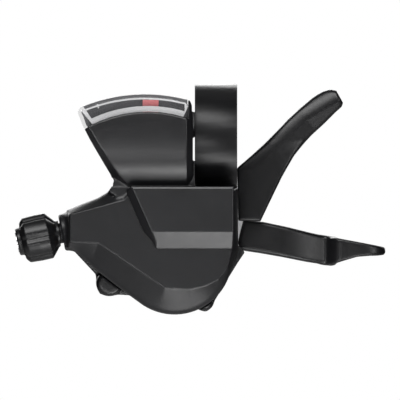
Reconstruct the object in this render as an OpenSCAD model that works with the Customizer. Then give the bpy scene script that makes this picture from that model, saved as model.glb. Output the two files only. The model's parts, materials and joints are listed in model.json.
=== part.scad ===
// Rapid-fire thumb shifter for a flat handlebar, with an optical gear display.
// Origin: centre of the handlebar clamp. +X runs along the bar to the grip,
// +Z is up, and the rider looks along +Y. Millimetres.

/* [Handlebar clamp] */
// Handlebar diameter that the clamp closes on
bar_d = 22.2; // [22.2:0.1:22.6]
// Radial thickness of the clamp band
band_t = 4; // [3.4:0.1:4.4]
// Width of the clamp band along the bar
band_w = 12.3; // [11:0.1:12.4]
// Gap between the two clamp ears
clamp_gap = 1.6; // [1:0.1:2.4]
// Clamp bolt diameter
clamp_bolt_d = 5; // [4:0.5:5]

/* [Body] */
// Wall of the moulded body
wall = 1.4; // [1.1:0.1:1.6]
// Wall of the display hood
hood_wall = 0.9; // [0.8:0.1:1]
// Front face of the lower body
face_y = -15.5; // [-15.8:0.1:-15.4]
// Depth at which the lower face has fallen away into its side walls
chamfer_y = -12; // [-13:0.1:-11]
// Front face of the raised badge panel
plateau_y = -18; // [-18.4:0.1:-17.4]
// Most forward point of the display hood
hood_y = -20; // [-20.4:0.1:-19.6]
// Radius of the hood's front, top to bottom
hood_r = 34; // [32:1:40]

/* [Mechanism] */
// Main axle diameter
axle_d = 6; // [5:0.2:6]
// Running clearance on the axle and the bushes, on the radius
run = 0.05; // [0.03:0.01:0.08]
// Radius that the inner cable winds on
drum_r = 8; // [7.4:0.1:8.4]
// Degrees that the winder turns per gear
click = 15.5; // [15:0.5:16]
// Outer radius of the two ratchets
ratchet_r = 11.4; // [11:0.1:11.6]
// Teeth on the winder's pinion
pinion_n = 14; // [14:1:14]
// Teeth on the full circle of the pointer's inner gear
ring_n = 48; // [48:1:48]
// Play between the two sets of teeth, along the pitch circle
backlash = 0.16; // [0.1:0.01:0.22]

/* [Cable adjuster] */
// Diameter of the knob over its lobes
knob_d = 13.5; // [12.5:0.1:14]
// Length of the knob
knob_l = 12.8; // [12.4:0.1:13]
// Outer diameter of the cable casing that plugs in
casing_d = 5; // [4:0.5:5]
// Thread diameter of the adjuster bolt
adjuster_d = 6; // [5.6:0.1:6.4]

/* [Levers] */
// Thickness of the lever plates
lever_t = 1.5; // [1.3:0.1:1.5]
// Depth of the thumb paddle
pad_depth = 12.5; // [10:0.5:14]

/* [Hidden] */
knob_s0 = -5.2; // where the knob starts, along the adjuster
$fn = 64;
bar_r = bar_d / 2;
band_r = bar_r + band_t;
axle_r = axle_d / 2;
axle_x = -8;
axle_z = -29;
pointer_x = -20;
pointer_z = -32.5;
centres = norm([axle_x - pointer_x, axle_z - pointer_z]);
mesh_angle = atan2(axle_z - pointer_z, axle_x - pointer_x);
gear_mod = 2 * centres / (ring_n - pinion_n);
pointer_rest = 1.4;

// Layers from front to back
pointer_y0 = -13.8;
pointer_y1 = -13.1;
base_y0 = -12.4;
base_y1 = -11.4;
drum_y0 = -10.6;
drum_y1 = -4.6;
index_y0 = -1.5;
index_y1 = 0.1;
drive_y0 = 3.2;
drive_y1 = 4.8;
inner_plate_y0 = 5.4;
inner_plate_y1 = 6.8;
bracket_y0 = 8;
bracket_y1 = 9.6;
cover_y0 = 9.7;
cover_y1 = 11.2;
release_y0 = 12;
release_y1 = 12 + lever_t;
main_y0 = 17;
main_y1 = 17 + lever_t;

bush_r = 5;
hub_r = 4.1;
stop_x = -24;
stop_z = -40;
link_r = 14;
link_a = 230;
feed_r = 14.6;
feed_a = 258;
adjuster_y = -6;
adjuster_a = 12;
knob_x = -52.5;
knob_z = -29.7;
window_c = [-20.6, -35.4];
window_r = 47.6;
clamp_bolt_y = 17.4;
foot_screw_z = -14.9;
cover_screws = [[-30, -37.5], [-3.2, -45.8]];

// Points on an arc, from angle a0 to a1
function arc(c, r, a0, a1, n = 16) =
    [for (i = [0:n]) let (a = a0 + (a1 - a0) * i / n) c + r * [cos(a), sin(a)]];
// Points of a closed outline moved inwards by d, with mitred corners
function unit(v) = v / norm(v);
function side(v) = [-v[1], v[0]];
function moved(p, d) = [for (i = [0:len(p) - 1])
    let (n = len(p),
         a = side(unit(p[i] - p[(i + n - 1) % n])),
         b = side(unit(p[(i + 1) % n] - p[i])),
         m = unit(a + b))
    p[i] + m * d / max(0.5, m * a)];
function inv_angle(rb, r) = let (c = acos(min(1, rb / r))) tan(c) * 180 / PI - c;
// Half of the angle that a tooth fills at radius r
function half_tooth(n, m, r, play) =
    let (rp = m * n / 2, rb = rp * cos(20))
    90 / n - play / 2 / rp * 180 / PI / 2 + inv_angle(rb, rp) - inv_angle(rb, max(r, rb));

// One tooth flank pair from radius r0 to r1
function tooth(n, m, r0, r1, play, k) = let (rb = m * n / 2 * cos(20)) concat(
    [for (i = [0:5]) let (r = r0 + (r1 - r0) * i / 5, a = k * 360 / n - half_tooth(n, m, r, play))
        r * [cos(a), sin(a)]],
    [for (i = [5:-1:0]) let (r = r0 + (r1 - r0) * i / 5, a = k * 360 / n + half_tooth(n, m, r, play))
        r * [cos(a), sin(a)]]);

// Outline of the lower body, seen from the front
body_pts = concat(
    [[-30.2, -15.1], [-31.3, -16.2], [-34.5, -18], [-38.9, -19.7], [-43.2, -21.5],
     [-43.2, -32.3], [-40.6, -33.8], [-34.8, -38.9], [-26.1, -45.5]],
    arc([-12, -35], 16.8, 232, 350, 18),
    [[6.4, -33], [6.4, -15.1]]);
// Outline of the flat part of its face
face_pts = [[-24, -15.8], [-27.8, -18.4], [-42.6, -22.9], [-42.6, -31], [-34.2, -31], [-14.8, -44.1],
            [-7.5, -44.4], [-3.2, -43.5], [0.6, -41.8], [3.5, -38.3], [4.6, -33], [5, -15.8]];
// Outline of the display hood
hood_pts = concat(
    [[-7, 9.3], [-8.4, 10.7]],
    arc(window_c, window_r, 76, 112.6, 20),
    [[-39.4, 8.1], [-40.3, 7], [-39.4, 5.2], [-38.6, 2.9], [-36.8, -0.6], [-34.8, -4.1],
     [-32.8, -7.5], [-30.7, -11], [-29.9, -12.8], [-30.2, -15], [-7, -15]]);
badge_pts = [[-24.7, -15.1], [-18.6, -27.8], [5.2, -27.8], [5.2, -15.1]];
blade_pts = [[6.4, -24.6], [6.1, -9.3], [10.4, -5.5], [13.9, -2.3], [17.4, 1.2], [20.9, 4.9], [24.4, 8.1],
             [27.8, 11], [29.6, 12.2], [31.3, 13.1], [33.1, 13.3], [34.6, 13.1], [36.7, 9.4], [36.3, 8.4],
             [34.8, 7], [31.3, 3.5], [27.8, 0.3], [24.4, -3.5], [22.6, -5.8], [20.9, -8.7], [17.4, -15.4],
             [12.9, -24.8]];
release_pts = [[-14, -23], [-1, -34], [6.5, -23.4], [11.8, -22.6], [15, -15], [9, -10.6], [5, -15]];
arm_pts = [[7.8, -24.2], [6.9, -27.6], [6.1, -31], [7, -33], [8.7, -33.4], [19.1, -35.1], [26.1, -36.5],
           [33.1, -37.4], [33.1, -29.2], [27.8, -28.1], [20.9, -26.4], [13.9, -24.9]];
pad_pts = [[32.6, -29.1], [31.3, -37.4], [33.6, -37.3], [38.3, -36], [43.5, -35.1], [48.4, -34.5],
           [49, -33.6], [48.6, -32.5]];

module slab(y0, y1) {
    translate([0, y1, 0]) rotate([90, 0, 0]) linear_extrude(y1 - y0) children();
}
module rod(x, z, r, y0, y1) {
    translate([x, y1, z]) rotate([90, 0, 0]) cylinder(r = r, h = y1 - y0);
}
// Turns the X axis onto the adjuster's axis, with the knob's centre at zero
module on_adjuster() {
    translate([knob_x, adjuster_y, knob_z]) rotate([0, -adjuster_a, 0]) rotate([0, 90, 0]) children();
}
module coil(x, z, r, wire, y0, turns, pitch) {
    for (i = [0:turns - 1]) translate([x, y0 + i * pitch, z]) rotate([90, 0, 0])
        rotate_extrude() translate([r, 0]) circle(r = wire, $fn = 16);
}
module ratchet2d(r, depth, pitch, n, a0, lean) {
    polygon([for (i = [0:n - 1]) each [
        (r - depth) * [cos(a0 + i * pitch), sin(a0 + i * pitch)],
        r * [cos(a0 + i * pitch + lean), sin(a0 + i * pitch + lean)]]]);
}

module clamp_band() color([0.09, 0.09, 0.1]) difference() {
    union() {
        translate([-band_w / 2, 0, 0]) rotate([0, 90, 0]) cylinder(r = band_r, h = band_w, $fn = 128);
        translate([-band_w / 2, 11, -7.2]) cube([band_w, 10.8, 14.4]);
        translate([-6.1, -2, -17.2]) cube([12.2, 10, 8.2]);
    }
    translate([-20, 0, 0]) rotate([0, 90, 0]) cylinder(r = bar_r, h = 40, $fn = 128);
    translate([-10, 8, -clamp_gap / 2]) cube([20, 14, clamp_gap]);
    translate([0, clamp_bolt_y, -12]) cylinder(r = clamp_bolt_d / 2, h = 24);
    for (x = [-3.4, 3.4]) rod(x, foot_screw_z, 1.25, 1, 9);
}
module clamp_bolt() color([0.2, 0.2, 0.21]) difference() {
    translate([0, clamp_bolt_y, 0]) union() {
        translate([0, 0, -11.4]) cylinder(r = clamp_bolt_d / 2, h = 19);
        translate([0, 0, 7.2]) cylinder(r = 4, h = 3.6);
    }
    translate([0, clamp_bolt_y, 8.6]) cylinder(r = 2.3, h = 4, $fn = 6);
}
module clamp_nut() color([0.6, 0.6, 0.6]) difference() {
    translate([0, clamp_bolt_y, -10.8]) cylinder(r = 4, h = 3.6, $fn = 6);
    translate([0, clamp_bolt_y, -12]) cylinder(r = clamp_bolt_d / 2, h = 6);
}
module bracket_screws() color([0.5, 0.5, 0.5]) for (x = [-3.4, 3.4]) difference() {
    union() {
        rod(x, foot_screw_z, 1.25, 2, bracket_y1 + 0.1);
        rod(x, foot_screw_z, 2.3, bracket_y1, bracket_y1 + 1.5);
    }
    slab(bracket_y1 + 0.7, bracket_y1 + 2) translate([x, foot_screw_z]) circle(r = 1.2, $fn = 6);
}
module bracket_2d() {
    intersection() {
        polygon(moved(body_pts, wall + 0.4));
        translate([-36, -60]) square([60, 60]);
    }
    translate([-6.1, -17.5]) square([12.2, 4.6]);
}
module base_bracket() color([0.66, 0.66, 0.66]) difference() {
    slab(bracket_y0, bracket_y1) bracket_2d();
    rod(axle_x, axle_z, bush_r + run, 7, 11);
    rod(stop_x, stop_z, 1.25, 7, 11);
    for (x = [-3.4, 3.4]) rod(x, foot_screw_z, 1.25, 7, 11);
    for (a = [link_a + 3:-4:link_a - 18])
        rod(axle_x + link_r * cos(a), axle_z + link_r * sin(a), 1.4, 7, 11);
    for (p = cover_screws) rod(p[0], p[1], 1.1, 7, 11);
}

module body_block(d) {
    hull() {
        slab(face_y + d, face_y + d + 0.1) polygon(moved(face_pts, d));
        slab(chamfer_y + d / 3, chamfer_y + d / 3 + 0.1) polygon(moved(body_pts, d));
    }
    slab(chamfer_y + d / 3 + 0.05, 9.6 + d) polygon(moved(body_pts, d));
}
module lower_shell() color([0.1, 0.1, 0.1]) difference() {
    union() {
        body_block(0);
        // cheek that gives the pointer room below the hood
        slab(face_y + 0.9, chamfer_y) polygon([[-30.2, -15.1], [-31.3, -16.2], [-27.8, -17.6], [-24, -16.4],
                                               [-24, -15.1]]);
        on_adjuster() translate([0, 0, 7.9]) cylinder(r = 5.4, h = 4);
    }
    body_block(wall);
    on_adjuster() translate([0, 0, 4]) cylinder(r = 4.2, h = 12);
    // room for the clamp's foot, the bracket's ear and the pointer
    translate([-6.4, -2.3, -17.6]) cube([12.8, 14, 8]);
    translate([-6.4, bracket_y0 - 0.3, -17.6]) cube([12.8, 4, 8]);
    translate([-29.6, pointer_y0 - 0.3, -18.6]) cube([23.3, base_y1 - pointer_y0 + 0.6, 6]);
}
module hood_front() {
    translate([-60, hood_y + hood_r, 3]) rotate([0, 90, 0]) cylinder(r = hood_r, h = 80, $fn = 128);
}
module window_2d() {
    polygon(concat(arc([-20.6, -35.4], 60, 72, 114.5, 12), arc([-19.8, -29.5], 36.5, 115, 73.6, 16)));
}
module top_cover() color([0.14, 0.14, 0.15]) difference() {
    union() {
        intersection() {
            slab(-22, base_y1) polygon(hood_pts);
            hood_front();
        }
        slab(plateau_y, face_y) polygon(badge_pts);
        // spacers that stand the hood off the clamp band
        for (z = [-14.6, -0.4]) translate([-7.2, -14.6, z]) cube([0.9, 3.2, 7.4]);
        // ledge that joins the badge panel to the hood
        translate([-24.7, plateau_y, -15.1]) cube([29.9, -14.2 - plateau_y, 0.6]);
        hull() {
            translate([-17.6, plateau_y, -27.9]) cube([22.5, 2.4, 0.1]);
            translate([-17, face_y - 0.7, -33.1]) cube([21.9, 0.6, 0.1]);
        }
    }
    intersection() {
        slab(hood_y + wall, 0) polygon(moved(hood_pts, hood_wall));
        translate([-60, hood_y + hood_r, 3]) rotate([0, 90, 0]) cylinder(r = hood_r - wall, h = 80, $fn = 128);
        translate([-60, -40, -14.5]) cube([80, 60, 60]);
    }
    slab(-22, -10) window_2d();
    translate([-30, pointer_y0 - 0.4, -16]) cube([22, 4, 3]);
    // the badge panel is hollow behind
    slab(plateau_y + wall, face_y + 1) polygon(moved(badge_pts, wall));
}
module lens_2d(d) {
    intersection() {
        polygon(moved(hood_pts, d));
        window_2d();
    }
}
module indicator_window() color([0.6, 0.64, 0.68, 0.5]) difference() {
    intersection() {
        slab(-22, base_y0 - 0.1) lens_2d(0);
        hood_front();
    }
    intersection() {
        slab(-22, 0) difference() {
            polygon(moved(hood_pts, 1));
            polygon(arc([-19.8, -29.5], 36.5, 0, 359, 64));
        }
        translate([-60, hood_y + hood_r, 3]) rotate([0, 90, 0]) cylinder(r = hood_r - 1, h = 80, $fn = 128);
    }
}
module window_frame() color([0.84, 0.84, 0.84]) slab(-17.6, -16.6) difference() {
    intersection() {
        polygon(moved(hood_pts, 1.1));
        difference() {
            window_2d();
            polygon(arc([-19.8, -29.5], 36.6, 0, 359, 64));
        }
    }
    intersection() {
        polygon(moved(hood_pts, 1.55));
        polygon(concat(arc([-19.8, -29.5], 60, 66, 117, 12), arc([-19.8, -29.5], 38.2, 117, 66, 16)));
        translate([-60, -20]) square([50.9, 60]);
    }
}
module dial_plate() color([0.22, 0.22, 0.23]) slab(base_y0 - 0.5, base_y0) intersection() {
    polygon(moved(hood_pts, 1.5));
    polygon(concat(arc([-19.8, -29.5], 60, 66, 117, 12), arc([-19.8, -29.5], 35, 117, 66, 16)));
}
module indicator_base() color([0.5, 0.5, 0.52]) difference() {
    slab(base_y0, base_y1) {
        polygon(moved(hood_pts, hood_wall + 0.1));
        intersection() {
            polygon(moved(hood_pts, 0.15));
            window_2d();
            translate([-60, -20]) square([51.7, 60]);
        }
        polygon([[-28, -12], [-29, -15.5], [-27, -42], [-12, -42], [3.5, -35], [3.5, -18.4],
                 [-8.4, -17], [-8.4, -12]]);
    }
    rod(axle_x, axle_z, hub_r + 0.2, -14, -10);
    rod(pointer_x, pointer_z, 1.5, -14, -10);
}
module pointer_pin() color([0.7, 0.7, 0.7]) union() {
    rod(pointer_x, pointer_z, 1.5, pointer_y0 - 0.1, base_y1);
    rod(pointer_x, pointer_z, 2.4, base_y1, base_y1 + 0.6);
}
module pointer_gear_2d() {
    translate([pointer_x, pointer_z]) rotate(mesh_angle) difference() {
        intersection() {
            difference() {
                circle(r = 20.2, $fn = 96);
                polygon([for (k = [0:ring_n - 1]) each
                    tooth(ring_n, gear_mod, gear_mod * (ring_n / 2 - 0.9), gear_mod * (ring_n / 2 + 1.3),
                          -backlash, k)]);
            }
            polygon(concat([[0, 0]], arc([0, 0], 40, -31, 90 - pointer_rest - mesh_angle + 1.2, 4)));
        }
    }
}
module pointer() color([0.72, 0.14, 0.2]) difference() {
    slab(pointer_y0, pointer_y1) {
        pointer_gear_2d();
        translate([pointer_x, pointer_z]) circle(r = 3.4);
        translate([pointer_x, pointer_z]) rotate(90 - pointer_rest) {
            translate([2, -0.8]) square([38, 1.6]);
            translate([39, -2.3]) square([4, 4.6]);
        }
    }
    rod(pointer_x, pointer_z, 1.5 + run, -16, -10);
}

module main_axle() color([0.75, 0.75, 0.76]) union() {
    rod(axle_x, axle_z, axle_r, pointer_y0 + 0.1, main_y1 + 4.6);
}
module axle_washer() color([0.72, 0.72, 0.72]) difference() {
    rod(axle_x, axle_z, 6.4, main_y1 + 0.1, main_y1 + 1);
    rod(axle_x, axle_z, axle_r, 0, 40);
}
module axle_nut() color([0.68, 0.68, 0.68]) difference() {
    translate([axle_x, main_y1 + 4, axle_z]) rotate([90, 0, 0]) cylinder(r = 5.6, h = 3, $fn = 6);
    rod(axle_x, axle_z, axle_r, 0, 40);
}
module winder() color([0.62, 0.6, 0.55]) difference() {
    translate([axle_x, 0, axle_z]) union() {
        rod(0, 0, 10.4, drum_y0, drum_y0 + 1.4);
        rod(0, 0, drum_r, drum_y0, drum_y1);
        rod(0, 0, 10.4, drum_y1 - 1.4, drum_y1);
        rod(0, 0, 5, drum_y1 - 1, drive_y1);
    }
    rod(axle_x, axle_z, axle_r + run, -20, 20);
    // seat of the cable's end
    rod(axle_x + 8, axle_z + 3.4, 1.6, drum_y1 - 5, drum_y1 + 1);
    // keyway
    translate([axle_x - 6, index_y0 - 0.4, axle_z + 4.4]) cube([12, 8, 2]);
}
module pinion() color([0.8, 0.72, 0.5]) difference() {
    union() {
        slab(pointer_y0, pointer_y1) translate([axle_x, axle_z]) rotate(mesh_angle)
            polygon([for (k = [0:pinion_n - 1]) each
                tooth(pinion_n, gear_mod, gear_mod * (pinion_n / 2 - 1.2), gear_mod * (pinion_n / 2 + 0.8),
                      backlash, k)]);
        rod(axle_x, axle_z, hub_r, pointer_y1 - 0.1, drum_y0);
    }
    rod(axle_x, axle_z, axle_r + run, -20, 20);
}
module keyed_bore(y0, y1) {
    difference() {
        rod(axle_x, axle_z, 5, y0 - 1, y1 + 1);
        translate([axle_x - 6, y0 - 2, axle_z + 4.4]) cube([12, y1 - y0 + 4, 2]);
    }
}
module index_ratchet() color([0.7, 0.7, 0.71]) difference() {
    slab(index_y0, index_y1) translate([axle_x, axle_z]) union() {
        circle(r = ratchet_r - 1.9);
        intersection() {
            ratchet2d(ratchet_r, 2, click, 22, 4, 3);
            polygon([[0, 0], 30 * [cos(90), sin(90)], [-30, 30], [-30, -30], 30 * [cos(250), sin(250)]]);
        }
    }
    keyed_bore(index_y0, index_y1);
}
module drive_ratchet() color([0.7, 0.7, 0.71]) difference() {
    slab(drive_y0, drive_y1) translate([axle_x, axle_z]) union() {
        circle(r = ratchet_r - 1.9);
        intersection() {
            ratchet2d(ratchet_r, 2, click, 22, 6, -3);
            polygon([[0, 0], 30 * [cos(195), sin(195)], [-30, -30], [30, -30], 30 * [cos(20), sin(20)]]);
        }
    }
    keyed_bore(drive_y0, drive_y1);
}
module winder_spring() color([0.55, 0.55, 0.57]) slab(-4, -2) translate([axle_x, axle_z])
    polygon(concat(
        [for (a = [0:12:900]) (5.6 + a / 360 * 1.3) * [cos(a), sin(a)]],
        [for (a = [900:-12:0]) (5.15 + a / 360 * 1.3) * [cos(a), sin(a)]]));

module stop_pin() color([0.7, 0.7, 0.7]) rod(stop_x, stop_z, 1.25, -2.4, bracket_y1);
module stop_pawl() color([0.64, 0.64, 0.65]) difference() {
    slab(index_y0, index_y1) {
        translate([stop_x, stop_z]) circle(r = 2.8);
        polygon([[stop_x - 2.6, stop_z + 0.6], [stop_x + 2.2, stop_z + 1.6], [-21, -34.2], [-19.5, -31],
                 [-20.6, -30.2], [-23.4, -32]]);
        polygon([[stop_x + 1, stop_z + 2.4], [stop_x + 1, stop_z - 2], [-17.6, -38.7], [-17.4, -37.4]]);
    }
    rod(stop_x, stop_z, 1.25 + run, -4, 4);
}
module release_spring() color([0.55, 0.55, 0.57]) coil(stop_x, stop_z, 2.7, 0.45, 1.4, 6, 0.95);
module feed_pin() color([0.7, 0.7, 0.7])
    rod(axle_x + feed_r * cos(feed_a), axle_z + feed_r * sin(feed_a), 1.1, drive_y0 - 0.6, inner_plate_y1);
module feed_pawl() color([0.64, 0.64, 0.65]) difference() {
    translate([axle_x, 0, axle_z]) slab(drive_y0, drive_y1) {
        translate(feed_r * [cos(feed_a), sin(feed_a)]) circle(r = 2.1);
        polygon([(feed_r + 1.9) * [cos(feed_a - 2), sin(feed_a - 2)],
                 (feed_r + 1.7) * [cos(feed_a + 10), sin(feed_a + 10)],
                 12 * [cos(feed_a + 31), sin(feed_a + 31)], 11.7 * [cos(feed_a + 29), sin(feed_a + 29)],
                 12.4 * [cos(feed_a + 14), sin(feed_a + 14)], (feed_r - 1.9) * [cos(feed_a), sin(feed_a)]]);
    }
    rod(axle_x + feed_r * cos(feed_a), axle_z + feed_r * sin(feed_a), 1.1 + run, 0, 8);
}
module main_bush() color([0.7, 0.68, 0.62]) difference() {
    rod(axle_x, axle_z, bush_r, inner_plate_y0, main_y1);
    rod(axle_x, axle_z, axle_r + run, 0, 30);
}
module drive_plate() color([0.68, 0.68, 0.69]) difference() {
    slab(inner_plate_y0, inner_plate_y1) translate([axle_x, axle_z]) {
        circle(r = 7.6);
        rotate(feed_a) translate([0, -2.6]) square([feed_r, 5.2]);
        translate(feed_r * [cos(feed_a), sin(feed_a)]) circle(r = 2.3);
    }
    rod(axle_x, axle_z, bush_r, 0, 30);
    rod(axle_x + feed_r * cos(feed_a), axle_z + feed_r * sin(feed_a), 1.1, 0, 8);
}

module rear_2d() {
    polygon(concat(
        [[-28, -18.2], [-38.9, -20.4], [-42.2, -22.4], [-42.2, -32.3], [-35, -40], [-33.6, -45.6], [-28.6, -46],
         [-25.2, -46.2]],
        arc([-12, -35], 16.6, 233, 285, 8),
        [[-5.4, -50.2], [-3, -50.8], [-1, -48.8], [2.9, -42.3], [6.1, -37.1], [8.3, -33.8],
         [7.6, -32.4], [6.3, -31.6], [6.3, -18.2]]));
}
module rear_cover() color([0.11, 0.11, 0.12]) difference() {
    union() {
        slab(cover_y0, cover_y1) rear_2d();
        rod(-31, -42.7, 3.7, 5.2, cover_y1);
        rod(-3.2, -48.2, 2.3, 6.4, cover_y1);
    }
    // nothing of the two bosses may enter the body
    slab(0, 9.65) polygon(moved(body_pts, -0.15));
    rod(axle_x, axle_z, bush_r + run + 0.2, 8, 13);
    for (a = [link_a + 3:-4:link_a - 18])
        rod(axle_x + link_r * cos(a), axle_z + link_r * sin(a), 1.4, 8, 13);
    for (p = cover_screws) rod(p[0], p[1], 1.1, 8, 13);
}
module rear_screws() color([0.45, 0.45, 0.46]) for (p = cover_screws) difference() {
    union() {
        rod(p[0], p[1], 1.1, bracket_y0 - 1, cover_y1 + 0.05);
        rod(p[0], p[1], 2, cover_y1, cover_y1 + 1.3);
    }
    translate([p[0] - 0.3, cover_y1 + 0.8, p[1] - 3]) cube([0.6, 2, 6]);
    translate([p[0] - 3, cover_y1 + 0.8, p[1] - 0.3]) cube([6, 2, 0.6]);
}

module release_plate() color([0.7, 0.7, 0.71]) difference() {
    union() {
        slab(release_y0, release_y1) {
            translate([axle_x, axle_z]) circle(r = 8.6);
            polygon(release_pts);
            translate([axle_x, axle_z]) rotate(link_a) translate([0, -2.4]) square([link_r, 4.8]);
            translate([axle_x, axle_z] + link_r * [cos(link_a), sin(link_a)]) circle(r = 2.4);
        }
    }
    rod(axle_x, axle_z, bush_r + run, 8, 18);
    rod(axle_x + link_r * cos(link_a), axle_z + link_r * sin(link_a), 1, 8, 18);
}
module release_link() color([0.7, 0.7, 0.7])
    rod(axle_x + link_r * cos(link_a), axle_z + link_r * sin(link_a), 1, index_y0, release_y1);
module release_blade() color([0.13, 0.13, 0.14]) difference() {
    slab(release_y0 - 0.65, release_y1 + 2.4) polygon(blade_pts);
    slab(release_y0, release_y1) polygon(release_pts);
}
module lever_spring() color([0.6, 0.6, 0.62]) coil(axle_x, axle_z, 6.2, 0.5, release_y1 + 0.75, 3, 1.05);
module main_plate() color([0.74, 0.74, 0.75]) difference() {
    slab(main_y0, main_y1) {
        translate([axle_x, axle_z]) circle(r = 8.4);
        polygon([[axle_x - 1, axle_z + 8.2], [axle_x + 1, axle_z - 8.2], [8, -33], [22, -33.6], [22, -28.2],
                 [9.6, -24.6]]);
    }
    rod(axle_x, axle_z, bush_r, 0, 30);
}
module main_paddle() color([0.12, 0.12, 0.13]) difference() {
    union() {
        slab(main_y0 - 0.6, main_y1 + 0.9) polygon(arm_pts);
        intersection() {
            slab(main_y0 - 0.6, main_y0 - 0.6 + pad_depth) polygon(pad_pts);
            translate([41, main_y0 - 0.6 + pad_depth / 2, -60]) scale([1, 1, 1]) linear_extrude(60)
                polygon([for (a = [0:10:350]) [9.6 * (abs(cos(a)) ^ 0.5) * sign(cos(a)),
                         pad_depth * 0.53 * (abs(sin(a)) ^ 0.5) * sign(sin(a))]]);
        }
    }
    slab(main_y0, main_y1)
        polygon([[0, -20], [0, -36], [8, -33.05], [22.05, -33.65], [22.05, -28.15], [9.6, -24.55]]);
}

module cable_guide() color([0.3, 0.3, 0.31]) difference() {
    slab(adjuster_y - 2.6, adjuster_y + 2.6) polygon(concat(
        [[-38.6, -24.6], [-27.5, -24.6], [-27.5, -33.5]], [[-31, -33.5]], [[-38.6, -30.6]]));
    translate([-30.2, adjuster_y, -39.2]) rotate([90, 0, 0]) rotate_extrude($fn = 48)
        translate([13, 0]) circle(r = 0.9, $fn = 24);
}
module adjuster_insert() color([0.75, 0.62, 0.3]) difference() {
    on_adjuster() translate([0, 0, 8.1]) cylinder(r = 4.2, h = 4.6);
    on_adjuster() translate([0, 0, 4]) cylinder(r = adjuster_d / 2 + run, h = 12);
}
module adjuster_bolt() color([0.5, 0.5, 0.5]) difference() {
    on_adjuster() translate([0, 0, -1.4]) cylinder(r = adjuster_d / 2, h = 13);
    on_adjuster() translate([0, 0, -4]) cylinder(r = 1.2, h = 20);
}
module knob_profile(r) {
    polygon([for (a = [0:5:355]) (r - 0.75 + 0.75 * cos(6 * a)) * [cos(a), sin(a)]]);
}
module adjuster_knob() color([0.12, 0.12, 0.13]) difference() {
    union() {
        on_adjuster() translate([0, 0, knob_s0 + 1.5]) intersection() {
            linear_extrude(knob_l - 2.7) knob_profile(knob_d / 2);
            union() {
                cylinder(r1 = knob_d / 2 - 0.8, r2 = knob_d / 2, h = 1.2);
                translate([0, 0, 1.2]) cylinder(r = knob_d / 2 + 1, h = 6.6);
                translate([0, 0, 7.8]) cylinder(r1 = knob_d / 2, r2 = 4.1, h = knob_l - 10.5);
            }
        }
        on_adjuster() translate([0, 0, knob_s0]) cylinder(r = 4, h = 1.6);
        on_adjuster() translate([0, 0, 0]) cylinder(r = 3.8, h = knob_s0 + knob_l);
    }
    on_adjuster() translate([0, 0, -1.4]) cylinder(r = adjuster_d / 2, h = 20);
    on_adjuster() translate([0, 0, -9]) cylinder(r = casing_d / 2 + 0.55, h = 7.6);
}
module casing_seat() color([0.7, 0.7, 0.7]) difference() {
    on_adjuster() translate([0, 0, knob_s0 - 0.2]) cylinder(r = casing_d / 2 + 0.5, h = 3.75);
    on_adjuster() translate([0, 0, -9]) cylinder(r = casing_d / 2 + 0.05, h = 6.6);
    on_adjuster() translate([0, 0, -9]) cylinder(r = 1.1, h = 20);
}

clamp_band();
clamp_bolt();
clamp_nut();
bracket_screws();
base_bracket();
lower_shell();
top_cover();
indicator_window();
window_frame();
dial_plate();
indicator_base();
pointer_pin();
pointer();
main_axle();
axle_washer();
axle_nut();
winder();
pinion();
index_ratchet();
drive_ratchet();
winder_spring();
stop_pin();
stop_pawl();
release_spring();
feed_pin();
feed_pawl();
main_bush();
drive_plate();
rear_cover();
rear_screws();
release_plate();
release_link();
release_blade();
lever_spring();
main_plate();
main_paddle();
cable_guide();
adjuster_insert();
adjuster_bolt();
adjuster_knob();
casing_seat();
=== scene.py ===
"""Looks of the thumb shifter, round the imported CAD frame. Lengths in the shape code are in mm."""
import json
import math

import bmesh
import bpy
import numpy as np
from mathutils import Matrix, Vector


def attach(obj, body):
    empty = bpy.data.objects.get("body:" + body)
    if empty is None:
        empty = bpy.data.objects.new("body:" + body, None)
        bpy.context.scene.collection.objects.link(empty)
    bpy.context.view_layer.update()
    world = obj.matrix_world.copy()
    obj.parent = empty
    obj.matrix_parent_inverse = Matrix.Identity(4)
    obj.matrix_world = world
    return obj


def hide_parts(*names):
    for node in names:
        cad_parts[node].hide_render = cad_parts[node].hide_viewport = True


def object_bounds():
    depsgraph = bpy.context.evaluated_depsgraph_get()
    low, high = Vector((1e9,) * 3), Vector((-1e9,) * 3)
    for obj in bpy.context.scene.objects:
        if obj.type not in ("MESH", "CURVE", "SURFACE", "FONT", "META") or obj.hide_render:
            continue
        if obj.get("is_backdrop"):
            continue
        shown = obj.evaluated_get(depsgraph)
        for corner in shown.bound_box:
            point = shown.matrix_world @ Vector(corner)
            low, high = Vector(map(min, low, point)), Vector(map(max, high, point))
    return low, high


MM = 0.001


def plain(value):
    return [plain(v) for v in value] if hasattr(value, "__len__") else float(value)


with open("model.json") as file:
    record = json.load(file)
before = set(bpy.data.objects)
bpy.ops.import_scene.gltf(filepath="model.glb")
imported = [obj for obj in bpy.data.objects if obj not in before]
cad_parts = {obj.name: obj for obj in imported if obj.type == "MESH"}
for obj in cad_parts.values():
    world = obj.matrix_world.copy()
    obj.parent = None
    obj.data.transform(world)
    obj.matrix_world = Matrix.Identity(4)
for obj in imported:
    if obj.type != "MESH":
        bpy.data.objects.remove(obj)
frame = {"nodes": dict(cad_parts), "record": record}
cad_box = plain(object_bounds())
GRID = 0.34

# ---------------------------------------------------------------- shape code


def arc(cx, cz, r, a0, a1, n=24):
    """Points on a circle from angle a0 to a1, in degrees."""
    steps = [math.radians(a0 + (a1 - a0) * i / n) for i in range(n + 1)]
    return [(cx + r * math.cos(a), cz + r * math.sin(a)) for a in steps]


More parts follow.
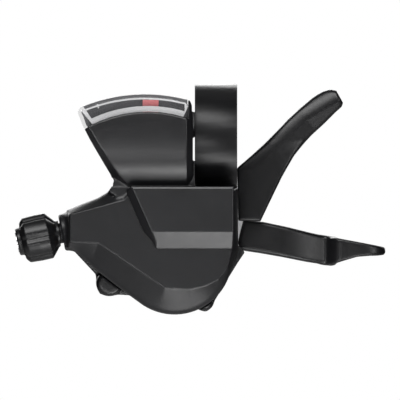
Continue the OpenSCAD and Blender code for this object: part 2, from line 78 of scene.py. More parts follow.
def outline(pts, x, z):
    """Signed distance to a closed outline, negative inside."""
    best = np.full(np.broadcast(x, z).shape, 1e9)
    inside = np.zeros(best.shape, bool)
    for (ax, az), (bx, bz) in zip(pts, pts[1:] + pts[:1]):
        ex, ez, wx, wz = bx - ax, bz - az, x - ax, z - az
        t = np.clip((wx * ex + wz * ez) / (ex * ex + ez * ez + 1e-12), 0, 1)
        best = np.minimum(best, (wx - t * ex) ** 2 + (wz - t * ez) ** 2)
        up, down, left = z >= az, z < bz, ex * wz > ez * wx
        inside ^= (up & down & left) | (~up & ~down & ~left)
    return np.where(inside, -1, 1) * np.sqrt(best)


def path_side(pts, x, z):
    """Distance to an open path, positive on its left."""
    best, side = np.full(np.broadcast(x, z).shape, 1e9), np.ones(np.broadcast(x, z).shape)
    for (ax, az), (bx, bz) in zip(pts, pts[1:]):
        ex, ez, wx, wz = bx - ax, bz - az, x - ax, z - az
        t = np.clip((wx * ex + wz * ez) / (ex * ex + ez * ez), 0, 1)
        d = np.hypot(wx - t * ex, wz - t * ez)
        side = np.where(d < best, np.sign(ex * wz - ez * wx), side)
        best = np.minimum(best, d)
    return best * side


def smin(a, b, r):
    """Union of two fields, blended over a width r."""
    h = np.clip(0.5 + 0.5 * (b - a) / r, 0, 1)
    return b + (a - b) * h - r * h * (1 - h)


def smax(a, b, r):
    """Overlap of two fields, with its edges rounded over a width r."""
    return -smin(-a, -b, r)


def block(x, y, z, lo, hi):
    """Distance to a box, negative inside."""
    return np.maximum.reduce(np.broadcast_arrays(
        lo[0] - x, x - hi[0], lo[1] - y, y - hi[1], lo[2] - z, z - hi[2]))


def net(name, field, lo, hi, h=GRID):
    """A closed smooth mesh of the zero surface of field(x, y, z) between lo and hi, by surface nets."""
    margin = 2.5 * h
    lo = [v - margin for v in lo]
    ax = [np.arange(a, b + margin, h) for a, b in zip(lo, hi)]
    value = np.ascontiguousarray(np.broadcast_to(
        field(ax[0][:, None, None], ax[1][None, :, None], ax[2][None, None, :]), [len(a) for a in ax]))
    value = np.where(value == 0, 1e-6, value)
    for k in range(3):  # nothing reaches the grid's edge
        np.moveaxis(value, k, 0)[[0, -1]] = np.abs(np.moveaxis(value, k, 0)[[0, -1]])
    cells = tuple(n - 1 for n in value.shape)
    total, count = np.zeros(cells + (3,)), np.zeros(cells)

    def corner(o):
        return value[o[0]:o[0] + cells[0], o[1]:o[1] + cells[1], o[2]:o[2] + cells[2]]

    for k in range(3):
        i, j = [m for m in range(3) if m != k]
        for oi in (0, 1):
            for oj in (0, 1):
                a, b = [0, 0, 0], [0, 0, 0]
                a[i] = b[i] = oi
                a[j] = b[j] = oj
                b[k] = 1
                va, vb = corner(a), corner(b)
                cross = (va < 0) != (vb < 0)
                t = np.where(cross, va / np.where(cross, va - vb, 1), 0)
                total[..., i] += cross * oi
                total[..., j] += cross * oj
                total[..., k] += t
                count += cross
    used = count > 0
    index = np.full(cells, -1)
    index[used] = np.arange(used.sum())
    where = np.argwhere(used)
    verts = (where + total[used] / count[used][:, None]) * h + np.array(lo)
    faces = []
    for k in range(3):
        i, j = (k + 1) % 3, (k + 2) % 3
        a = np.moveaxis(value, (k, i, j), (0, 1, 2))
        ids = np.moveaxis(index, (k, i, j), (0, 1, 2))
        low, high = a[:-1, 1:-1, 1:-1] < 0, a[1:, 1:-1, 1:-1] < 0
        quad = np.stack([ids[:, :-1, :-1], ids[:, 1:, :-1], ids[:, 1:, 1:], ids[:, :-1, 1:]], -1)
        faces += [quad[low & ~high], quad[~low & high][:, ::-1]]
    mesh = bpy.data.meshes.new(name)
    mesh.from_pydata((verts * MM).tolist(), [], np.concatenate(faces).tolist())
    mesh.validate()
    mesh.shade_smooth()
    piece = bpy.data.objects.new(name, mesh)
    bpy.context.collection.objects.link(piece)
    return piece


def dress(piece, body, slot, material, *nodes):
    """Gives a piece its body and its material, and hides the CAD nodes that it stands for. The slot argument
    is not used.
    """
    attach(piece, body)
    if nodes:
        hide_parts(*nodes)
    piece.data.materials.clear()
    piece.data.materials.append(material)


# ----------------------------------------------------------------- materials
GRAIN_HEIGHT, CLOUD_HEIGHT, LINE_HEIGHT = 0.00004, 0.00008, 0.00003  # bump heights in metres
EDGE_WEAR = (0.52, 0.66)  # pointiness where wear begins and where it is full


def shader(name, base, roughness, metallic=0.0, specular=0.5):
    """A new material, its node tree and its Principled node."""
    mat = bpy.data.materials.new(name)
    mat.use_nodes = True
    node = mat.node_tree.nodes["Principled BSDF"]
    node.inputs["Base Color"].default_value = (*base, 1)
    node.inputs["Roughness"].default_value = roughness
    node.inputs["Metallic"].default_value = metallic
    node.inputs["Specular IOR Level"].default_value = specular
    return mat, mat.node_tree, node


def noise(tree, scale, detail=3.0, stretch=(1, 1, 1)):
    place = tree.nodes.new("ShaderNodeTexCoord")
    mapping = tree.nodes.new("ShaderNodeMapping")
    mapping.inputs["Scale"].default_value = stretch
    tex = tree.nodes.new("ShaderNodeTexNoise")
    tex.inputs["Scale"].default_value = scale
    tex.inputs["Detail"].default_value = detail
    tree.links.new(place.outputs["Object"], mapping.inputs["Vector"])
    tree.links.new(mapping.outputs["Vector"], tex.inputs["Vector"])
    return tex.outputs["Fac"]


def ramp(tree, source, a, b, low=0.3, high=0.7):
    node = tree.nodes.new("ShaderNodeValToRGB")
    node.color_ramp.elements[0].position, node.color_ramp.elements[1].position = low, high
    node.color_ramp.elements[0].color, node.color_ramp.elements[1].color = (*a, 1), (*b, 1)
    tree.links.new(source, node.inputs["Fac"])
    return node.outputs["Color"]


def span(tree, source, low, high):
    node = tree.nodes.new("ShaderNodeMapRange")
    node.inputs["To Min"].default_value, node.inputs["To Max"].default_value = low, high
    tree.links.new(source, node.inputs["Value"])
    return node.outputs["Result"]


def bump(tree, node, sources):
    last = None
    for source, strength, distance in sources:
        b = tree.nodes.new("ShaderNodeBump")
        b.inputs["Strength"].default_value, b.inputs["Distance"].default_value = strength, distance
        tree.links.new(source, b.inputs["Height"])
        if last:
            tree.links.new(last, b.inputs["Normal"])
        last = b.outputs["Normal"]
    tree.links.new(last, node.inputs["Normal"])


def moulded(name, base, roughness, grain=5200, depth=0.25, specular=0.5, wear=1.5):
    """Moulded plastic: fine spark grain, faint flow clouds, rubbed edges."""
    mat, tree, node = shader(name, base, roughness, specular=specular)
    clouds = ramp(tree, noise(tree, 90), [c * 0.82 for c in base], [c * 1.16 for c in base])
    edge = tree.nodes.new("ShaderNodeNewGeometry")
    worn = ramp(tree, edge.outputs["Pointiness"], (0, 0, 0), (1, 1, 1), *EDGE_WEAR)
    mix = tree.nodes.new("ShaderNodeMix")
    mix.data_type = "RGBA"
    tree.links.new(worn, mix.inputs["Factor"])
    tree.links.new(clouds, mix.inputs["A"])
    mix.inputs["B"].default_value = (*[min(1, c * wear) for c in base], 1)
    tree.links.new(mix.outputs["Result"], node.inputs["Base Color"])
    tree.links.new(span(tree, noise(tree, 700), roughness - 0.06, roughness + 0.07),
                   node.inputs["Roughness"])
    grains, waves = noise(tree, grain, 2), noise(tree, 260, 2)
    bump(tree, node, [(grains, depth, GRAIN_HEIGHT), (waves, 0.12, CLOUD_HEIGHT)])
    return mat


def metal(name, base, roughness, stretch=(40, 1, 1), streak=260, depth=0.2, metallic=1.0):
    """Steel or brass with fine drawn or ground lines and slight staining."""
    mat, tree, node = shader(name, base, roughness, metallic=metallic)
    lines = noise(tree, streak, 4, stretch)
    tree.links.new(ramp(tree, noise(tree, 160), [c * 0.8 for c in base], base), node.inputs["Base Color"])
    tree.links.new(span(tree, lines, roughness - 0.08, roughness + 0.12), node.inputs["Roughness"])
    bump(tree, node, [(lines, depth, LINE_HEIGHT)])
    return mat


def painted(name, base, roughness):
    """Satin coating over metal, with light orange peel."""
    mat, tree, node = shader(name, base, roughness, specular=0.3)
    tree.links.new(ramp(tree, noise(tree, 140), [c * 0.85 for c in base], [c * 1.15 for c in base]),
                   node.inputs["Base Color"])
    tree.links.new(span(tree, noise(tree, 900), roughness - 0.05, roughness + 0.05),
                   node.inputs["Roughness"])
    bump(tree, node, [(noise(tree, 2600, 2), 0.12, GRAIN_HEIGHT)])
    return mat


def clear(name):
    """Thin smoky plastic, seen through."""
    mat, tree, node = shader(name, (0.1, 0.1, 0.105), 0.1, specular=0.12)
    node.inputs["Alpha"].default_value = 0.16
    tree.links.new(span(tree, noise(tree, 400), 0.08, 0.16), node.inputs["Roughness"])
    return mat


BODY = moulded("body_plastic_grain", (0.0062, 0.0062, 0.0072), 0.36, specular=0.42)
COVER = moulded("cover_plastic_grain", (0.007, 0.007, 0.0081), 0.34, specular=0.5)
SATIN = {"base": (0.0045, 0.0045, 0.0052), "roughness": 0.34, "grain": 3000, "depth": 0.02, "specular": 0.4}
LEVER = moulded("lever_plastic_satin", **SATIN)
KNOB = moulded("knob_plastic_satin", **SATIN)
INNER = moulded("inner_plastic_plain", (0.13, 0.13, 0.135), 0.5)
PALE = moulded("pale_plastic_frame", (0.93, 0.93, 0.94), 0.5, wear=1.05)
DIAL = moulded("dial_print_matt", (0.05, 0.05, 0.053), 0.55)
RED = moulded("pointer_red_plastic", (1.0, 0.26, 0.27), 0.4, wear=1.1)
MARK = moulded("dial_mark_ink", (0.72, 0.72, 0.72), 0.55, wear=1.05)
CLEAR = clear("window_clear")
NECK = metal("neck_black_plated", (0.03, 0.03, 0.032), 0.42, (1, 1, 1), 3000)
CLAMP = painted("clamp_coating", (0.004, 0.004, 0.0046), 0.36)
PLATE = metal("plate_steel_stamped", (0.56, 0.56, 0.57), 0.34)
# Lever steel is only half metallic over a near-white base. The diffuse white half is a painted reflection
# that keeps the plates bright, besides the real ground lines and staining.
STEEL_PAINTED_GLEAM = metal("lever_steel_painted_reflection", (0.9, 0.9, 0.91), 0.42, metallic=0.5)
BOLT = metal("bolt_steel_plated", (0.36, 0.36, 0.37), 0.36, (1, 1, 30))
TURNED = metal("axle_steel_turned", (0.6, 0.6, 0.61), 0.26, (1, 40, 1))
BRASS = metal("brass_turned", (0.72, 0.53, 0.24), 0.3, (40, 1, 1))
WIRE = metal("spring_wire", (0.42, 0.42, 0.44), 0.3)
BY_SLOT = {"clamp_metal": CLAMP, "bolt_steel": BOLT, "plate_steel": PLATE, "body_plastic": BODY,
           "cover_plastic": COVER, "neck_black": NECK, "clear_window": CLEAR, "pale_plastic": PALE,
           "dial_print": DIAL, "inner_plastic": INNER, "axle_steel": TURNED, "pointer_red": RED,
           "brass_gear": BRASS, "spring_steel": WIRE, "lever_steel": STEEL_PAINTED_GLEAM, "lever_plastic": LEVER,
           "knob_plastic": KNOB}
slot_of = {s["node"]: s["material_slot"] for s in frame["record"]["subparts"]}
# Metal CAD nodes whose edges get a bevel modifier, with its width in mm. Their own meshes stay as they are.
WELD_GAP, SHARP_ANGLE = 0.002, 35  # mm and degrees
SOFTENED = {"clamp_band": 0.55, "main_plate": 0.18, "release_plate": 0.18, "axle_nut": 0.2,
            "clamp_bolt": 0.3, "clamp_nut": 0.25, "base_bracket": 0.15, "bracket_screws": 0.15,
            "rear_screws": 0.15, "axle_washer": 0.12}
for name, piece in frame["nodes"].items():
    for s in piece.material_slots:
        s.material = BY_SLOT[slot_of[name]]
    if name in SOFTENED:
        weld = piece.modifiers.new("weld", "WELD")
        weld.merge_threshold = WELD_GAP * MM
        edge = piece.modifiers.new("edge", "BEVEL")
        edge.width = SOFTENED[name] * MM
        edge.segments = 3
        edge.limit_method = "ANGLE"
        edge.angle_limit = math.radians(SHARP_ANGLE)
        edge.harden_normals = True

# -------------------------------------------------------------- moulded body
LEANING = 0.9  # brings the depth to a leaning face close to its true distance
FACE_Y, CHAMFER_Y, BODY_BACK, WALL = -15.5, -12.0, 9.6, 1.4
CHEEK_FRONT, CHEEK_BACK = -14.65, -11.5
BOSS_R, BOSS_FROM, BOSS_TO = 5.4, 7.9, 12.4
BORE_R, BORE_FROM = 4.2, 4  # the way through the boss for the adjuster's insert
CLAMP_POCKET = ((-6.4, -2.3, -17.6), (6.4, 20, 0))
HOOD_POCKET = ((-29.6, -14.1, -18.6), (-6.3, -11.1, 0))
BODY_LINE = ([(-30.2, -15.1), (-31.3, -16.2), (-34.5, -18), (-38.9, -19.7), (-43.2, -21.5), (-43.2, -32.3),
              (-40.6, -33.8), (-34.8, -38.9), (-26.1, -45.5)] + arc(-12, -35, 16.8, 232, 350)
             + [(6.4, -33), (6.4, -15.1)])
FACE_LINE = [(-24, -15.8), (-26.7, -18.6), (-42.7, -22.8), (-42.6, -31), (-34.2, -31), (-14.8, -44.1),
             (-7.5, -44.4), (-3.2, -43.5), (0.6, -41.8), (3.5, -38.3), (4.6, -33), (5, -15.8)]
CHEEK = [(-30.2, -14.5), (-31.3, -16.2), (-28, -18.2), (-24, -17.4), (-24, -14.5)]
KNOB_AT = np.array([-52.5, -6.0, -29.7])
LEAN = math.radians(12)
ALONG = np.array([math.cos(LEAN), 0, math.sin(LEAN)])


def adjuster_frame(x, y, z):
    """Distance along the adjuster's axis, out from it, and the angle round it."""
    px, py, pz = x - KNOB_AT[0], y - KNOB_AT[1], z - KNOB_AT[2]
    s = px * ALONG[0] + pz * ALONG[2]
    across = -px * ALONG[2] + pz * ALONG[0]
    return s, np.hypot(across, py), np.arctan2(across, py)


def lower_body(x, y, z):
    body, face = outline(BODY_LINE, x, z), outline(FACE_LINE, x, z)
    fall = np.clip(face / np.maximum(face - body, 0.01), 0, 1)
    front = FACE_Y + (CHAMFER_Y - FACE_Y) * fall
    solid = smax(smax(body, (front - y) * LEANING, 1.3), y - BODY_BACK, 0.3)
    s, r, _ = adjuster_frame(x, y, z)
    cheek = smax(smax(outline(CHEEK, x, z), CHEEK_FRONT - y, 0.4), y - CHEEK_BACK, 0.3)
    solid = smin(solid, cheek, 0.8)
    boss = smax(smax(r - BOSS_R, BOSS_FROM - s, 0.7), s - BOSS_TO, 0.5)
    solid = smin(solid, boss, 1.2)
    hollow = np.maximum(body + WALL, (front + WALL) - y)
    solid = np.maximum(solid, -hollow)
    solid = np.maximum(solid, -np.maximum(r - BORE_R, BORE_FROM - s))
    solid = np.maximum(solid, -block(x, y, z, *CLAMP_POCKET))
    return np.maximum(solid, -block(x, y, z, *HOOD_POCKET))


piece = net("lower_body", lower_body, (-46, -16, -53), (7.5, 10, -13.6))
dress(piece, "housing", "body_plastic", BODY, "lower_shell")

# ------------------------------------------------- display hood, badge, lens
TOP_CENTRE = (-20.6, -35.4)
HOOD_LINE = ([(-7, 8.9), (-7.5, 10.2), (-8.6, 10.9)] + arc(*TOP_CENTRE, 47.6, 75.6, 112.4)
             + [(-39.4, 8.3), (-40.1, 7.2), (-39.9, 6.2), (-38.6, 2.9), (-36.8, -0.6), (-34.8, -4.1),
                (-32.8, -7.5), (-30.7, -11), (-29.9, -12.8), (-30.3, -15.9), (-6.7, -15.9), (-6.7, 0.5)])
BADGE_LINE = [(-25.4, -15.1), (-27.6, -17.6), (-25.6, -19.4), (-20.8, -31.4), (-19.6, -33.1), (4.9, -33.1),
              (5.2, -27.8), (5.2, -15.1)]
BADGE_TOP = [(-24.7, -14), (-18.6, -27.8), (-17.6, -30.4), (-17.3, -34), (6, -34), (6, -14)]
HOOD_Y, HOOD_SIDE_Y, HOOD_BACK, HOOD_WALL = -20.0, -14.7, -11.4, 0.9
HOOD_BEND_Z, UPPER_BEND, LOWER_BEND, LOWER_SWEEP = 3, 68, 0.00474, 3.89e-5
LEFT_SLOPE, RIGHT_SLOPE, RIGHT_FROM, RIGHT_WIDTH = 1.5, 1.2, -8.5, 2
CAVITY_FLOOR = -14.5
CAVITY_SLOT = ((-30, -14.3, -17.4), (-8, -10, -12))
RIM = (-19.8, -29.5, 36.5)  # centre and radius of the window's lower edge
WINDOW_END, WINDOW_BACK, DISPLAY_BACK = -8.1, -10, -12.4
LENS_WALL, LENS_GAP, RIM_GAP = 1.0, 0.1, 0.08
BADGE_Y, BADGE_BACK = -18.0, -15.5
BADGE_BEND_Z, BADGE_BEND_HEIGHT, BADGE_BEND_DEPTH = -27.8, 5.3, 2.5
BADGE_SIDE_WIDTH, BADGE_SIDE_SLOPE = 4, 1.05
LEDGE = ((-24.7, BADGE_Y + 0.2, -15.2), (5.2, -14.5, -14.55))
SPACER_LOWS, SPACER_HEIGHT = (-14.6, -0.4), 7.4
HOOD_EDGE = [(-23.4, -16.4), (-24.6, -15), (-28.2, -11.3), (-32, -5.6), (-34.6, -1.6), (-37.2, 2.9),
             (-40.6, 9), (-44.6, 16)]


def hood_front(z):
    """The hood's face leans back gently at the top and ever faster towards the badge."""
    t = HOOD_BEND_Z - z
    return HOOD_Y + np.where(t < 0, t * t / UPPER_BEND, LOWER_BEND * t * t + LOWER_SWEEP * t ** 4)


def hood_outer(x, y, z, edge):
    """The hood's outer skin. Its left side and its right edge fall away from the face."""
    off = np.maximum(path_side(HOOD_EDGE, x, z), 0)
    middle = hood_front(z)
    sides = middle + LEFT_SLOPE * off + RIGHT_SLOPE * np.clip(x - RIGHT_FROM, 0, RIGHT_WIDTH)
    front = np.minimum(sides, np.maximum(middle, HOOD_SIDE_Y))
    return smax(outline(HOOD_LINE, x, z), (front - y) * np.where(off > 0, 0.6, 0.95), edge)


def rim_distance(x, z):
    return np.hypot(x - RIM[0], z - RIM[1]) - RIM[2]


def top_cover(x, y, z):
    outer = hood_outer(x, y, z, 0.5)
    hood = np.maximum(outer, y - HOOD_BACK)
    opening = np.maximum.reduce(np.broadcast_arrays(-rim_distance(x, z), x - WINDOW_END, y - WINDOW_BACK))
    hood = smax(hood, -opening, 0.25)
    cavity = np.maximum.reduce(np.broadcast_arrays(
        outline(HOOD_LINE, x, z) + HOOD_WALL, outer + HOOD_WALL, CAVITY_FLOOR - z))
    hood = np.maximum(hood, -cavity)
    hood = np.maximum(hood, -block(x, y, z, *CAVITY_SLOT))
    flat, slope = outline(BADGE_TOP, x, z), np.clip((BADGE_BEND_Z - z) / BADGE_BEND_HEIGHT, 0, 1)
    side = np.clip(flat, 0, BADGE_SIDE_WIDTH) * BADGE_SIDE_SLOPE
    badge_front = BADGE_Y + BADGE_BEND_DEPTH * slope + side
    badge = smax(outline(BADGE_LINE, x, z), (badge_front - y) * LEANING, 0.5)
    badge = np.maximum(badge, y - BADGE_BACK)
    ledge = block(x, y, z, *LEDGE)
    for low in SPACER_LOWS:
        spacer = block(x, y, z, (-7.3, -14.6, low), (-6.12, HOOD_BACK, low + SPACER_HEIGHT))
        hood = np.minimum(hood, spacer)
    return np.minimum(np.minimum(hood, smin(badge, ledge, 0.4)), ledge)


piece = net("display_hood", top_cover, (-41, -21, -34), (6, -11, 13), GRID * 0.85)
dress(piece, "housing", "cover_plastic", COVER, "top_cover")


def lens(x, y, z):
    outer = hood_outer(x, y, z, 0.9)
    return np.maximum.reduce(np.broadcast_arrays(
        outer, -(outer + LENS_WALL), RIM_GAP - rim_distance(x, z),
        x - WINDOW_END + LENS_GAP, y - DISPLAY_BACK + LENS_GAP))


piece = net("display_lens", lens, (-41, -21, 0), (-7, -12, 13), GRID * 0.8)
dress(piece, "housing", "clear_window", CLEAR, "indicator_window")

# ------------------------------------------------------------- printed marks
DIAL_CENTRE = (-20.0, -32.5)
MARKS = ((19.1, 42.9, 44.2, 0.2), (-1.5, 42.6, 43.4, 0.5))  # angle, inner and outer radius, half width


def strip(name, rows, y, thick, material, slot_name):
    """Flat bars, each a list of outline points in x and z, that reach forwards by thick from depth y."""
    bm = bmesh.new()
    for pts in rows:
        face = bm.faces.new([bm.verts.new((px * MM, y * MM, pz * MM)) for px, pz in pts])
        made = bmesh.ops.extrude_face_region(bm, geom=[face])["geom"]
        front = [g for g in made if isinstance(g, bmesh.types.BMVert)]
        bmesh.ops.translate(bm, vec=(0, -thick * MM, 0), verts=front)
    bmesh.ops.recalc_face_normals(bm, faces=bm.faces)
    mesh = bpy.data.meshes.new(name)
    bm.to_mesh(mesh)
    bm.free()
    obj = bpy.data.objects.new(name, mesh)
    bpy.context.collection.objects.link(obj)
    dress(obj, "housing", slot_name, material)


def radial(angle, r0, r1, half):
    """A bar that points away from the dial's centre, at an angle from straight up."""
    a = math.radians(90 + angle)
    c, s = math.cos(a), math.sin(a)
    return [(DIAL_CENTRE[0] + r * c - k * s, DIAL_CENTRE[1] + r * s + k * c)
            for r, k in ((r0, -half), (r1, -half), (r1, half), (r0, half))]


strip("dial_ticks", [radial(*mark) for mark in MARKS], -12.9, 0.05, MARK, "dial_print")
LINE_STEPS = 40
outer_edge = arc(*TOP_CENTRE, 46.3, 111.2, 76.4, LINE_STEPS)
inner_edge = arc(*TOP_CENTRE, 46.0, 111.2, 76.4, LINE_STEPS)
bars = [[outer_edge[k], outer_edge[k + 1], inner_edge[k + 1], inner_edge[k]] for k in range(LINE_STEPS)]
strip("dial_edge_line", bars, -16.9, 0.2, MARK, "dial_print")
FRAME_END = [(-39.3, 7.6), (-35.9, 3.4), (-34.6, 3.9), (-36.2, 5.2), (-37.9, 7.8)]
strip("frame_end", [FRAME_END], -16.6, 0.95, PALE, "pale_plastic")

# --------------------------------------------------------------- rear cover
REAR_LINE = ([(-28, -18.2), (-38.9, -20.4), (-42.2, -22.4), (-42.2, -32.3), (-35, -40), (-33.6, -45.6),
              (-28.6, -46), (-25.2, -46.2)] + arc(-12, -35, 16.6, 233, 285)
             + [(-5.4, -50.2), (-3, -50.8), (-1, -48.8), (2.9, -42.3), (6.1, -37.1), (8.3, -33.8),
                (7.6, -32.4), (6.3, -31.6), (6.3, -18.2)])
REAR_FRONT, REAR_BACK, REAR_SEAT, REAR_GAP = 9.7, 11.2, 9.65, 0.15
AXLE = (-8.0, -29.0)
AXLE_HOLE_R, LINK_SLOT_HALF, SCREW_HOLE_R = 5.25, 1.4, 1.12
LINK_SLOT = arc(AXLE[0], AXLE[1], 14, 214, 234, 10)
COVER_SCREWS = ((-30, -37.5), (-3.2, -45.8))
BOSSES = ((-31, -42.7, 3.75, 5.2), (-3.2, -48.3, 2.35, 6.4))  # x, z, radius and front


def rear_cover(x, y, z):
    solid = smax(smax(outline(REAR_LINE, x, z), REAR_FRONT - y, 0.25), y - REAR_BACK, 0.6)
    for bx, bz, br, by in BOSSES:
        post = smax(smax(np.hypot(x - bx, z - bz) - br, by - y, 1.6), y - REAR_BACK, 0.6)
        solid = smin(solid, post, 0.8)
    solid = np.maximum(solid, -np.maximum(outline(BODY_LINE, x, z) - REAR_GAP, y - REAR_SEAT))
    solid = np.maximum(solid, AXLE_HOLE_R - np.hypot(x - AXLE[0], z - AXLE[1]))
    solid = np.maximum(solid, LINK_SLOT_HALF - np.abs(path_side(LINK_SLOT, x, z)))
    for sx, sz in COVER_SCREWS:
        solid = np.maximum(solid, SCREW_HOLE_R - np.hypot(x - sx, z - sz))
    return solid


piece = net("rear_cover_moulded", rear_cover, (-43, 5, -52), (9, 11.5, -17.5))
dress(piece, "housing", "body_plastic", BODY, "rear_cover")

# --------------------------------------------------------------------- knob
KNOB_ALONG, KNOB_RADII = [-3.9, -2.6, 1, 4.1, 6.4], [5.1, 6.55, 6.75, 6.7, 4.0]
LOBES, GROOVE_DEPTH = 6, 0.8
GRIP_FROM, GRIP_TO, COLLAR_FROM = -3.75, 6.4, -5.2  # places along the adjuster's axis
NECK_TO, SEAT_TO = 7.55, -1.4
NECK_R, COLLAR_R, SEAT_R, THREAD_R = 3.8, 4.0, 3.05, 3.02


def knob(x, y, z):
    s, r, phi = adjuster_frame(x, y, z)
    body = np.interp(s, KNOB_ALONG, KNOB_RADII)
    flute = GROOVE_DEPTH * (0.5 + 0.5 * np.cos(LOBES * phi)) ** 5
    grip = smax(smax(r - body + flute, GRIP_FROM - s, 0.6), s - GRIP_TO, 0.5)
    grip = smin(grip, np.maximum(smax(r - NECK_R, s - NECK_TO, 0.3), -s), 0.5)
    collar = smax(smax(r - COLLAR_R, COLLAR_FROM - s, 0.5), s, 0.3)
    solid = smin(grip, collar, 0.5)
    solid = np.maximum(solid, -np.maximum(r - SEAT_R, s - SEAT_TO))
    return np.maximum(solid, THREAD_R - r)


piece = net("adjuster_grip", knob, (-60, -13, -38), (-45.5, 1.5, -21), GRID * 0.8)
dress(piece, "adjuster_body", "knob_plastic", KNOB, "adjuster_knob")

# ------------------------------------------------------------------- levers
BLADE_LINE = [(6.4, -24.6), (6.1, -9.3), (10.4, -5.5), (13.9, -2.3), (17.4, 1.2), (20.9, 4.9), (24.4, 8.1),
              (27.8, 11), (29.6, 12.2), (31.3, 13.1), (33.1, 13.5), (34.9, 13.2), (36.9, 9.6), (36.4, 8.4),
              (34.8, 7), (31.3, 3.5), (27.8, 0.3), (26.1, -1.5), (24.4, -3.5), (22.6, -5.8), (20.9, -8.7),
              (19.1, -11.9), (17.4, -15.4), (15.7, -18.9), (12.9, -24.8)]
BLADE_FRONT, BLADE_BACK, UPPER_FACET, LOWER_FACET = 11.4, 15.9, 0.075, 0.42
ROOT_TOP, ROOT_FADE = -10, 9  # below ROOT_TOP the blade is flat over the plate inside it
CREASE = [(8, -16), (13, -9.6), (18, -3.4), (22.6, 1.2), (26.4, 4.7), (30.6, 7.3), (34.5, 9.6), (40, 12.8)]


def blade(x, y, z):
    d, off = outline(BLADE_LINE, x, z), path_side(CREASE, x, z)
    shaped = np.clip((z - ROOT_TOP) / ROOT_FADE, 0, 1) ** 1.5
    facets = np.where(off > 0, UPPER_FACET * off ** 2, -LOWER_FACET * off)
    front = BLADE_FRONT + shaped * facets
    return smax(smax(d, (front - y) * LEANING, 0.9), y - BLADE_BACK, 0.9)


piece = net("release_blade_moulded", blade, (5.5, 11, -24.5), (37.5, 16.5, 14))
dress(piece, "release_lever", "lever_plastic", LEVER, "release_blade")

ARM_LINE = [(7.8, -24.2), (6.9, -27.6), (6.1, -31), (7, -33), (8.7, -33.4), (12.2, -33.9), (19.1, -35.1),
            (26.1, -36.5), (31.3, -37.3), (34.4, -37.2), (34.4, -29.5), (27.8, -28.1),
            (20.9, -26.4), (13.9, -24.9)]
PAD_LINE = [(30.6, -29.5), (30.6, -36.7), (33.5, -37.4), (36.5, -36.4), (40.9, -35.1), (44.6, -34.8),
            (48.9, -34.8), (49.3, -33.6), (49, -32.2), (41.8, -30.8), (34.8, -29.5)]
ARM_FRONT, ARM_BACK = 16.42, 19.4
BEND_FROM, BEND_LENGTH, BEND_DEPTH = 16, 18, 4  # the arm bends backwards on its way to the pad
PAD_FRONT, PAD_BACK = 16.4, 28.9
VALLEY_TO, VALLEY_LENGTH, VALLEY_DEPTH = 36.5, 5, 4
PAD_CENTRE, PAD_HALF, PAD_ROUND, PAD_SIZE = (40.2, 22.65), (9.3, 6.25), 3, 7  # in plan, a rounded oblong
PAD_FREE_X = 38  # further out than this, the pad has its own plan
SCOOP_DEPTH, SCOOP_Y, SCOOP_HALF, SCOOP_FROM, SCOOP_RUN = 0.8, 22.6, 5, 33, 4
UNDER_X, UNDER_Z = [33, 36.5, 41, 44.6, 49], [-38, -36.7, -35.4, -35.1, -35.1]


def paddle(x, y, z):
    bend = np.clip((x - BEND_FROM) / BEND_LENGTH, 0, 1) ** 2 * BEND_DEPTH
    valley = np.clip((VALLEY_TO - x) / VALLEY_LENGTH, 0, 1) ** 2 * VALLEY_DEPTH
    arm = smax(outline(ARM_LINE, x, z), (ARM_FRONT + bend - y) * LEANING, 1.2)
    arm = smax(arm, y - ARM_BACK - bend, 0.8)
    pad = outline(PAD_LINE, x, z)
    scoop = SCOOP_DEPTH * np.clip(1 - ((y - SCOOP_Y) / SCOOP_HALF) ** 2, 0, 1)
    scoop = scoop * np.clip((x - SCOOP_FROM) / SCOOP_RUN, 0, 1)
    under = np.interp(x, UNDER_X, UNDER_Z) + scoop - z
    across, deep = np.abs((x - PAD_CENTRE[0]) / PAD_HALF[0]), np.abs((y - PAD_CENTRE[1]) / PAD_HALF[1])
    plan = (across ** PAD_ROUND + deep ** PAD_ROUND) ** (1 / PAD_ROUND) * PAD_SIZE - PAD_SIZE
    inner_end = np.maximum(PAD_FRONT + valley - y, y - PAD_BACK)
    pad = smax(smax(pad, under, 0.6), np.where(x > PAD_FREE_X, plan, inner_end), 0.8)
    return smin(arm, pad, 1.4)


piece = net("thumb_paddle", paddle, (7, 16, -38), (50, 29.3, -23))
dress(piece, "main_lever", "lever_plastic", LEVER, "main_paddle")

# ----------------------------------------------------------- stage and light
FLOOR_DROP = 0.35  # the part hangs from its bar above the floor
floor_z = cad_box[0][2] - FLOOR_DROP


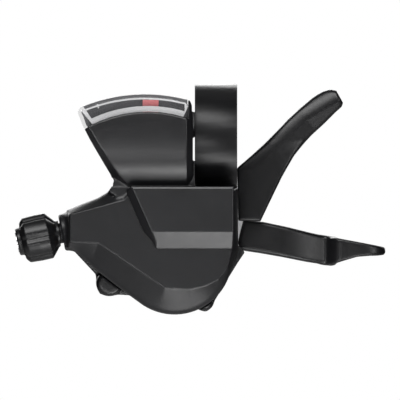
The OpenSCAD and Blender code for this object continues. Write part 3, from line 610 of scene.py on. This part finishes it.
def paint_floor(size, colour):
    bpy.ops.mesh.primitive_plane_add(size=size, location=(0, 0, floor_z))
    obj = bpy.context.object
    obj.name = "floor"
    mat, tree, node = shader("floor_paint", colour, 0.7, specular=0.2)
    tree.links.new(ramp(tree, noise(tree, 8), [c * 0.98 for c in colour], colour), node.inputs["Base Color"])
    obj.data.materials.append(mat)
    obj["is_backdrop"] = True


paint_floor(4, (0.86, 0.86, 0.86))
MIDDLE = Vector((-0.005, 0, -0.015))
LAMPS = (  # name, place, width, height and watts; all in metres, and all aimed at MIDDLE
    ("key_above", (-0.10, -0.38, 0.32), 0.5, 0.20, 2.5),
    ("front_fill", (-0.16, -0.52, -0.17), 0.3, 0.08, 0.75),
    ("right_front", (0.32, -0.45, 0.02), 0.10, 0.3, 0.6),
    ("low_front", (0.03, -0.13, -0.155), 0.14, 0.05, 0.19),
    ("top_soft", (0.0, 0.15, 0.60), 0.5, 0.4, 0.2),
    ("back_left", (-0.16, 0.55, 0.20), 0.4, 0.4, 1.6),
    ("back_right", (0.10, 0.55, 0.20), 0.4, 0.4, 1.2),
)
for name, place, width, height, watts in LAMPS:
    data = bpy.data.lights.new(name, "AREA")
    data.shape, data.size, data.size_y, data.energy = "RECTANGLE", width, height, watts
    lamp = bpy.data.objects.new(name, data)
    bpy.context.collection.objects.link(lamp)
    lamp.location = place
    lamp.rotation_euler = (MIDDLE - Vector(place)).to_track_quat("-Z", "Y").to_euler()
    lamp.visible_camera = False

# The camera sees a white background, while the surfaces get only a dim even light from it
AMBIENT, BACKGROUND = 0.03, 1.0
world = bpy.data.worlds.new("studio")
bpy.context.scene.world = world
world.use_nodes = True
wt = world.node_tree
wt.nodes.clear()
path, out = wt.nodes.new("ShaderNodeLightPath"), wt.nodes.new("ShaderNodeOutputWorld")
mix = wt.nodes.new("ShaderNodeMixShader")
for socket, strength in ((1, AMBIENT), (2, BACKGROUND)):
    glow = wt.nodes.new("ShaderNodeBackground")
    glow.inputs["Color"].default_value = (1, 1, 1, 1)
    glow.inputs["Strength"].default_value = strength
    wt.links.new(glow.outputs[0], mix.inputs[socket])
wt.links.new(path.outputs["Is Camera Ray"], mix.inputs["Fac"])
wt.links.new(mix.outputs[0], out.inputs["Surface"])
bpy.context.scene.view_settings.view_transform = "Standard"

# The view is square on to the face, with the clamp right of and above the middle
VIEW_WIDTH, VIEW_X, VIEW_Y, VIEW_Z = 116.0, -4.64, -700, -18.56
cam_data = bpy.data.cameras.new("camera")
cam_data.type = "ORTHO"
cam_data.ortho_scale = VIEW_WIDTH * MM
cam = bpy.data.objects.new("camera", cam_data)
bpy.context.collection.objects.link(cam)
cam.location = (VIEW_X * MM, VIEW_Y * MM, VIEW_Z * MM)
cam.rotation_euler = (math.radians(90), 0, 0)
bpy.context.scene.camera = cam

{"cad": cad_box, "visual": plain(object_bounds())}
